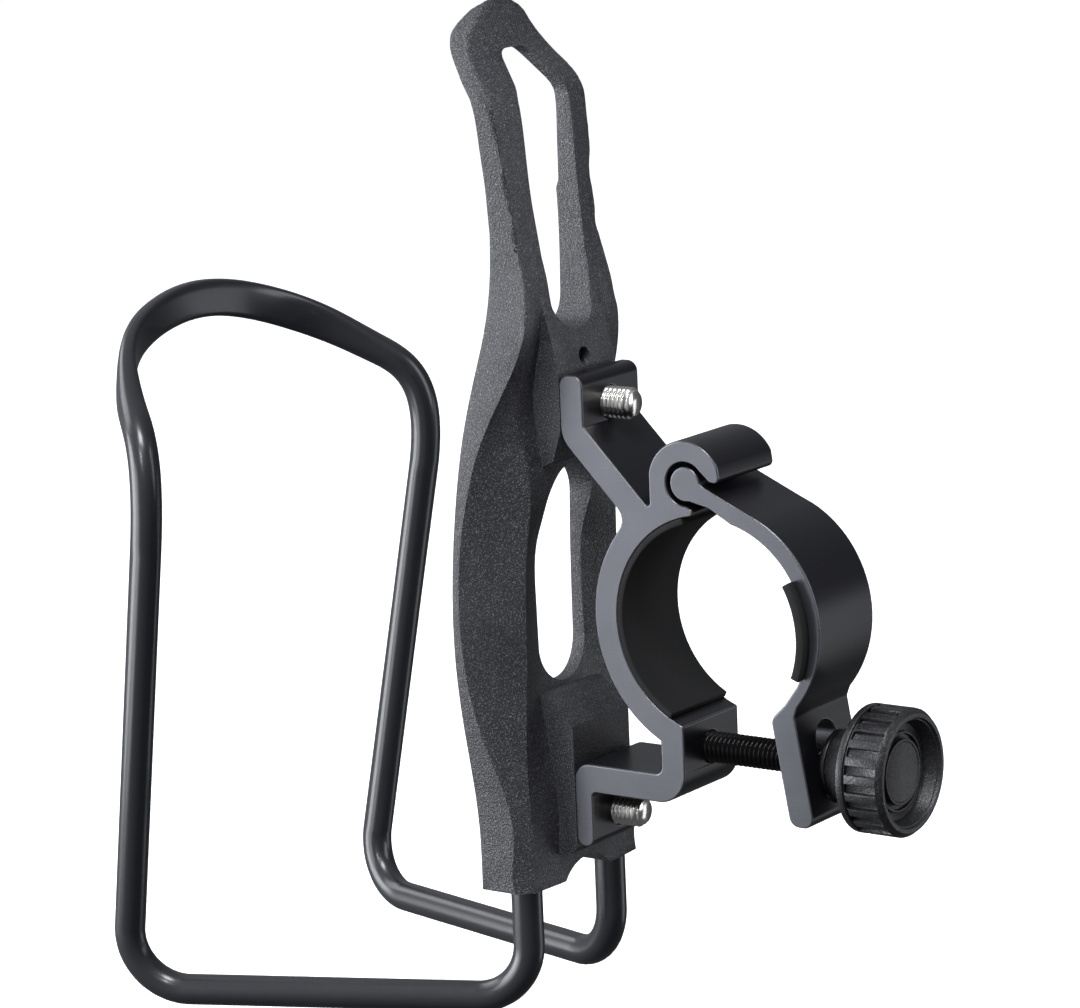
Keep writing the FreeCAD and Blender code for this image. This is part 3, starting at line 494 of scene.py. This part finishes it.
def on_ridge(edge):
    """An edge of the narrow bevel on the tongue's outer ridge, by its place and slanting normal."""
    a, b = edge.verts
    n, c = (a.normal + b.normal).normalized(), (a.co + b.co) / 2
    outward = n.x * (1 if c.x > 0 else -1)
    if c.z > HOOK_BACK:
        outward = max(outward, n.z)
    return c.z > RIDGE_FOOT and -0.85 < n.y < -0.30 and 0.45 < outward


def near_ridge(net, reach):
    """The points of a mesh that are nearer than reach to the ridge."""
    return [point for point in net.verts if ridge.find(point.co)[2] < reach]


edit(spine)
net = bmesh.from_edit_mesh(spine.data)
seeds = []
for edge in net.edges:
    if on_ridge(edge):
        a, b = (point.co.copy() for point in edge.verts)
        count = int((b - a).length / SEED_STEP) + 1
        seeds += [a.lerp(b, k / count) for k in range(count + 1)]
ridge = KDTree(len(seeds))
for k, seed in enumerate(seeds):
    ridge.insert(seed, k)
ridge.balance()
print("points along the ridge:", len(seeds))

# %% Cut the faces near the ridge small
LONGEST_EDGE = 0.0008
CUT_REACH = 0.0045
MOST_CUTS = 7

bpy.ops.mesh.select_all(action="DESELECT")
for point in near_ridge(net, 0.006):
    for face in point.link_faces:
        face.select_set(True)
bmesh.update_edit_mesh(spine.data)
bpy.ops.mesh.quads_convert_to_tris()
for cut in range(MOST_CUTS):
    net = bmesh.from_edit_mesh(spine.data)
    bpy.ops.mesh.select_all(action="DESELECT")
    bpy.ops.mesh.select_mode(type="EDGE")
    long_edges = 0
    for edge in net.edges:
        centre, length = (edge.verts[0].co + edge.verts[1].co) / 2, edge.calc_length()
        if length > LONGEST_EDGE and ridge.find(centre)[2] < CUT_REACH + length / 2:
            edge.select_set(True)
            long_edges += 1
    bmesh.update_edit_mesh(spine.data)
    if not long_edges:
        break
    bpy.ops.mesh.subdivide(number_cuts=1, quadcorner="INNERVERT")
    bpy.ops.mesh.select_more()
    bpy.ops.mesh.quads_convert_to_tris()
print("faces after cutting:", len(net.faces))

# %% Relax the ridge
# Each row is a reach, how often to relax, and the height where that starts. The first row is for
# the hook alone, and leaves the faces that look at the bottle.
HOOK_START = 0.088
for reach, repeat, above in ((0.0042, 16, HOOK_START), (0.0030, 4, 0), (0.0022, 8, 0),
                             (0.0014, 12, 0)):
    net = bmesh.from_edit_mesh(spine.data)
    bpy.ops.mesh.select_mode(type="VERT")
    bpy.ops.mesh.select_all(action="DESELECT")
    for point in near_ridge(net, reach):
        point.select_set(point.co.z > above and (above == 0 or point.normal.y < 0.1))
    bmesh.update_edit_mesh(spine.data)
    bpy.ops.mesh.vertices_smooth(factor=0.5, repeat=repeat)
bpy.ops.object.mode_set(mode="OBJECT")
nylon.dress(spine)
smooth(spine, 40)

# %% [markdown]
# ## The clamp's aluminium
# The bracket and the strap are slices of two long extrusions. Their sawn ends keep faint saw
# strokes, and the edges are broken with a small bevel whose lighter colour is a painted highlight.

# %% Bracket and strap
SAWN_SLOT, EDGE_SLOT = 1, 2


def sliced(node, name):
    """A slice of an extrusion: satin skin, sawn ends and small bevels with a painted highlight."""
    piece = welded(node, name)
    for finish in (anodised, sawn, painted_edge_highlight):
        piece.data.materials.append(finish.material)
    bevel(piece, 0.00028, 38, material=EDGE_SLOT)
    for face in piece.data.polygons:
        if abs(face.normal.x) > 0.98:
            face.material_index = SAWN_SLOT
    smooth(piece, 52)
    return modify(piece, "WEIGHTED_NORMAL", keep_sharp=True, weight=90)


bracket = sliced("bar_bracket", "bracket_slice")
strap = sliced("clamp_strap", "strap_slice")

# %% [markdown]
# ## Threads
# The bolts' tips and the clamp screw show their threads. A thread is a cylinder whose radius rises
# and falls once each pitch, and the rise runs round the shank as a helix. A flat grid is rolled up
# into that shape, which also lets the tip taper as a real one does.

# %% Roll a grid into a thread
PITCH, THREAD_DEPTH = 0.0008, 0.00052
POINTS_AROUND, ROWS_A_PITCH = 56, 9
TIP_TAPER, TIP_SLOPE = 0.0007, 0.9


def thread(name, start, end, radius, height, taper_low=0.0, taper_high=0.0):
    """A threaded shank along Y at x = 0 and the given height, from start to end."""
    rows = int(round((end - start) / PITCH * ROWS_A_PITCH))
    fresh()
    bpy.ops.mesh.primitive_grid_add(x_subdivisions=POINTS_AROUND, y_subdivisions=rows, size=1.0)
    piece = bpy.context.object
    for point in piece.data.vertices:
        turn = (point.co.x + 0.5) * 2 * math.pi
        y = start + (point.co.y + 0.5) * (end - start)
        phase = (y / PITCH + (point.co.x + 0.5)) % 1.0
        tooth = min(1.0, max(0.0, 2.6 * abs(phase - 0.5) - 0.15))
        r = radius - THREAD_DEPTH * tooth
        if taper_high:
            r = min(r, radius - max(0.0, y - (end - taper_high)) * TIP_SLOPE)
        if taper_low:
            r = min(r, radius - max(0.0, start + taper_low - y) * TIP_SLOPE)
        point.co = (r * math.sin(turn), y, height + r * math.cos(turn))
    edit(piece)
    bpy.ops.mesh.select_all(action="SELECT")
    bpy.ops.mesh.remove_doubles(threshold=0.000002)
    bpy.ops.mesh.select_all(action="DESELECT")
    bpy.ops.mesh.select_mode(type="EDGE")
    bpy.ops.mesh.select_non_manifold()
    bpy.ops.mesh.fill_holes(sides=0)
    face_out()
    return smooth(place(piece, name), 50)


# %% Cage bolts
HEAD_LENGTH, HEAD_OVERLAP = 0.0060, 0.0005

for node in ("cage_bolt_upper", "cage_bolt_lower"):
    low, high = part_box(node)
    bolt = welded(node, node + "_head")
    edit(bolt)
    bpy.ops.mesh.select_all(action="SELECT")
    bpy.ops.mesh.bisect(plane_co=(0, high[1] - HEAD_LENGTH, 0), plane_no=(0, 1, 0),
                        clear_inner=True, use_fill=True)
    bpy.ops.object.mode_set(mode="OBJECT")
    bevel(bolt, 0.0002, 35)
    stainless.dress(bolt)
    smooth(bolt, 30)
    shank = thread(node + "_thread", low[1], high[1] - HEAD_LENGTH + HEAD_OVERLAP, 0.00247,
                   middle(node).z, taper_low=TIP_TAPER)
    stainless.dress(shank)
    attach(shank, "cage")

# %% The clamp screw and the washer behind the knob
screw_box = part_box("clamp_screw")
screw_height = middle("clamp_screw").z
screw_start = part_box("thumb_knob")[1][1] - 0.001
screw = thread("clamp_screw_thread", screw_start, screw_box[1][1], 0.00242, screw_height,
               taper_high=TIP_TAPER)
black_oxide.dress(screw)
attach(screw, "knob")
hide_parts("clamp_screw")
washer = welded("thrust_washer", "thrust_disc")
bevel(washer, 0.00015, 35)
black_oxide.dress(washer)
smooth(washer)

# %% [markdown]
# ## The thumb knob
# The knob is moulded plastic with square ribs between a flange and a front rim. A plain disc in
# its recess covers the screw's head. Both start as a cylinder on the screw's axis, whose end faces
# are inset and pushed in or out. A bevel of a sixth of a millimetre softens the knob's edges.

# %% Words for shapes turned about the screw's axis
def drum(name, sides, radius, front, back):
    """A closed cylinder on the screw's axis, from front to back along Y."""
    fresh()
    bpy.ops.mesh.primitive_cylinder_add(vertices=sides, radius=radius, depth=back - front,
                                        location=(0, (front + back) / 2, screw_height),
                                        rotation=(math.pi / 2, 0, 0))
    return place(bpy.context.object, name)


def faces_where(piece, test):
    """In edit mode, select only the faces whose centre and normal pass a test."""
    bpy.ops.mesh.select_mode(type="FACE")
    bpy.ops.mesh.select_all(action="DESELECT")
    net = bmesh.from_edit_mesh(piece.data)
    chosen = 0
    for face in net.faces:
        if test(face.calc_center_median(), face.normal):
            face.select_set(True)
            chosen += 1
    bmesh.update_edit_mesh(piece.data)
    return chosen


def end_cap(y):
    """A test for the flat end face at a place along Y."""
    return lambda c, n: abs(c.y - y) < 0.00002 and abs(n.y) > 0.99


def narrow(share):
    """Scale what is selected towards the screw's axis."""
    bpy.ops.transform.resize(value=(share, 1, share), center_override=(0, 0, screw_height))


def step(inset, dy, share=1.0):
    """Inset the selected end face, push it along Y and narrow it to a share of its width."""
    bpy.ops.mesh.inset(thickness=inset)
    bpy.ops.mesh.extrude_region_move(TRANSFORM_OT_translate={"value": (0, dy, 0)})
    if share != 1.0:
        narrow(share)


def sink(piece, test, depth):
    """Push the faces that pass a test inwards along their normals."""
    print("faces to sink:", faces_where(piece, test))
    bpy.ops.mesh.extrude_region_shrink_fatten(TRANSFORM_OT_shrink_fatten={"value": -depth})


# %% Shape the knob from one cylinder
knob_low, knob_high = (Vector(corner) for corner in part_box("thumb_knob"))
RIBS, SPLIT, RIB_SHARE = 22, 6, 0.48
FRONT_Y, HUB_Y = knob_low.y, knob_high.y
FLANGE_BACK_Y = HUB_Y - 0.0047
FLANGE_FRONT_Y = FLANGE_BACK_Y - 0.0011
RIB_END_Y = FRONT_Y + 0.0009
NECK = 0.0003


def in_groove(c, n):
    """A test for the faces between two ribs."""
    turn = math.atan2(c.z - screw_height, c.x) / (2 * math.pi) * RIBS % 1.0
    return abs(n.y) < 0.1 and RIB_END_Y < c.y < FLANGE_FRONT_Y - NECK and turn < RIB_SHARE


def beside_flange(c, n):
    """A test for the narrow neck between the flange and the ribs."""
    return abs(n.y) < 0.1 and FLANGE_FRONT_Y - NECK < c.y < FLANGE_FRONT_Y


knob = drum("ribbed_knob", RIBS * SPLIT, 0.0097, FRONT_Y, FLANGE_BACK_Y)
edit(knob)
for y in (FLANGE_FRONT_Y, FLANGE_FRONT_Y - 0.00035, RIB_END_Y):
    bpy.ops.mesh.select_all(action="SELECT")
    bpy.ops.mesh.bisect(plane_co=(0, y, 0), plane_no=(0, 1, 0))
sink(knob, in_groove, 0.00075)
sink(knob, beside_flange, 0.0004)
faces_where(knob, end_cap(FRONT_Y))
narrow(0.925)
step(0.0007, 0.0005, 0.985)
step(0.00022, 0.0022, 0.93)
step(0.0013, -0.0006)
step(0.00035, 0.0006)
faces_where(knob, end_cap(FLANGE_BACK_Y))
step(0.0019, HUB_Y - FLANGE_BACK_Y, 0.655)
step(0.0023, -0.001)
face_out()
bevel(knob, 0.00017, 28, use_clamp_overlap=True)
knob_plastic.dress(knob)
smooth(knob, 32)
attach(knob, "knob")
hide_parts("thumb_knob")

# %% The cap
cap_low, cap_high = (Vector(corner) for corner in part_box("knob_cap"))
cap = drum("cap_disc", 96, (cap_high.x - cap_low.x) / 2, cap_low.y, cap_high.y)
edit(cap)
print("cap faces:", faces_where(cap, end_cap(cap_low.y)))
step(0.00045, 0.00014, 0.99)
bpy.ops.object.mode_set(mode="OBJECT")
bevel(cap, 0.00012, 32)
knob_plastic.dress(cap)
smooth(cap, 32)
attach(cap, "knob")
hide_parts("knob_cap")

# %% The two rubber pads
for node, name in (("strap_pad", "strap_rubber"), ("saddle_pad", "saddle_rubber")):
    pad = welded(node, name)
    bevel(pad, 0.00018, 38)
    rubber.dress(pad)
    smooth(pad, 35)

# %% [markdown]
# ## The wire
# One wire starts in a foot, runs under the bottle, up its side, over the front as a pressed flat
# band and down the other side. The route is a list of points: straight runs joined by round bends,
# and a smooth curve over the front. A ring of points stands square to the route at each of them.
# The rings of the band are wider and thinner, and neighbouring rings are joined by faces.

# %% The wire's route
WIRE = 0.00245
BEND_RADIUS, BEND_STEP = 0.009, 0.0006
ARCH_STEPS = 150


def bent(points):
    """Points along straight runs joined by round bends."""
    route = [points[0]]
    for a, corner, b in zip(points, points[1:], points[2:]):
        ua, ub = (a - corner).normalized(), (b - corner).normalized()
        half = ua.angle(ub) / 2
        enter = corner + ua * (BEND_RADIUS / math.tan(half))
        centre = corner + (ua + ub).normalized() * (BEND_RADIUS / math.sin(half))
        sweep = math.pi - 2 * half
        axis = (enter - centre).cross(corner - centre).normalized()
        pieces = max(6, int(BEND_RADIUS * sweep / BEND_STEP))
        for k in range(pieces + 1):
            turn = Matrix.Rotation(sweep * k / pieces, 3, axis)
            route.append(centre + turn @ (enter - centre))
    return route + [points[-1]]


def smooth_curve(poles, count):
    """Points on the clamped cubic curve that has these poles."""
    n = len(poles)
    knots = [0.0] * 4 + [float(k) for k in range(1, n - 3)] + [float(n - 3)] * 4
    found = []
    for i in range(count + 1):
        t = min((n - 3) * i / count, n - 3 - 1e-9)
        span = 3 + int(t)
        local = [poles[span - 3 + k].copy() for k in range(4)]
        for r in range(1, 4):
            for k in range(3, r - 1, -1):
                left, right = knots[span - 3 + k], knots[span + 1 + k - r]
                share = (t - left) / (right - left)
                local[k] = local[k - 1] * (1 - share) + local[k] * share
        found.append(local[3])
    return found


def other_side(points):
    """The same points mirrored in x, in the opposite order."""
    return [Vector((-p.x, p.y, p.z)) for p in reversed(points)]


side = [mm(11.32, 33.3, -30.0), mm(11.32, 33.3, -61.5), mm(32.0, 98.0, -63.75),
        mm(35.9, 85.35, 9.2)]
lean = (side[3] - side[2]).normalized()
right_poles = [side[3], side[3] + lean * 0.008, mm(35.4, 84.8, 26.3), mm(31.0, 90.7, 30.4),
               mm(27.2, 94.5, 33.7), mm(22.9, 98.1, 36.6), mm(15.5, 101.8, 39.9),
               mm(5.0, 102.9, 42.5)]
arch = smooth_curve(right_poles + other_side(right_poles), ARCH_STEPS)
upright = bent(side)
route = upright[:-1] + arch + other_side(upright[:-1])
print("the wire is %.0f mm long" % sum((b - a).length / MM for a, b in zip(route, route[1:])))

# %% Rings along the route, pressed flat over the front
AROUND = 24
BOTTLE_Y = 0.0707
BAND_TALL, BAND_THIN, BAND_SQUARE = 0.00305, 0.00130, 0.55


def roundness(i):
    """0 in the middle of the band, 1 where the wire is round, with an even change between."""
    way = (i - (len(upright) - 1)) / ARCH_STEPS
    share = abs(2.0 * way - 1.0) if 0.0 <= way <= 1.0 else 1.0
    blend = min(1.0, max(0.0, (share - 0.30) / 0.5))
    return blend * blend * (3 - 2 * blend)


def ring(i):
    """The points round the wire at one step of its route."""
    here = route[i]
    ahead, behind = route[min(i + 1, len(route) - 1)], route[max(i - 1, 0)]
    along = (ahead - behind).normalized()
    radial = Vector((here.x, here.y - BOTTLE_Y, 0.0))
    across = (radial - along * radial.dot(along)).normalized()
    rise = along.cross(across)
    blend = roundness(i)
    tall = BAND_TALL + (WIRE - BAND_TALL) * blend
    thin = BAND_THIN + (WIRE - BAND_THIN) * blend
    square = BAND_SQUARE + (1 - BAND_SQUARE) * blend
    points = []
    for k in range(AROUND):
        c, s = math.cos(2 * math.pi * k / AROUND), math.sin(2 * math.pi * k / AROUND)
        points.append(here + rise * math.copysign(abs(c) ** square, c) * tall
                      + across * math.copysign(abs(s) ** square, s) * thin)
    return points


rings = [tuple(point) for i in range(len(route)) for point in ring(i)]
faces = []
for i in range(len(route) - 1):
    for k in range(AROUND):
        m = (k + 1) % AROUND
        faces.append((i * AROUND + k, i * AROUND + m, (i + 1) * AROUND + m, (i + 1) * AROUND + k))
faces.append(tuple(range(AROUND))[::-1])
faces.append(tuple((len(route) - 1) * AROUND + k for k in range(AROUND)))
fresh()
bpy.ops.mesh.primitive_circle_add(vertices=AROUND, radius=WIRE)
wire = bpy.context.object
wire.data.clear_geometry()
wire.data.from_pydata(rings, [], faces)
edit(wire)
face_out()
paint.dress(place(wire, "bent_wire"))
smooth(wire, 50)
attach(wire, "cage")
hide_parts("wire_loop")
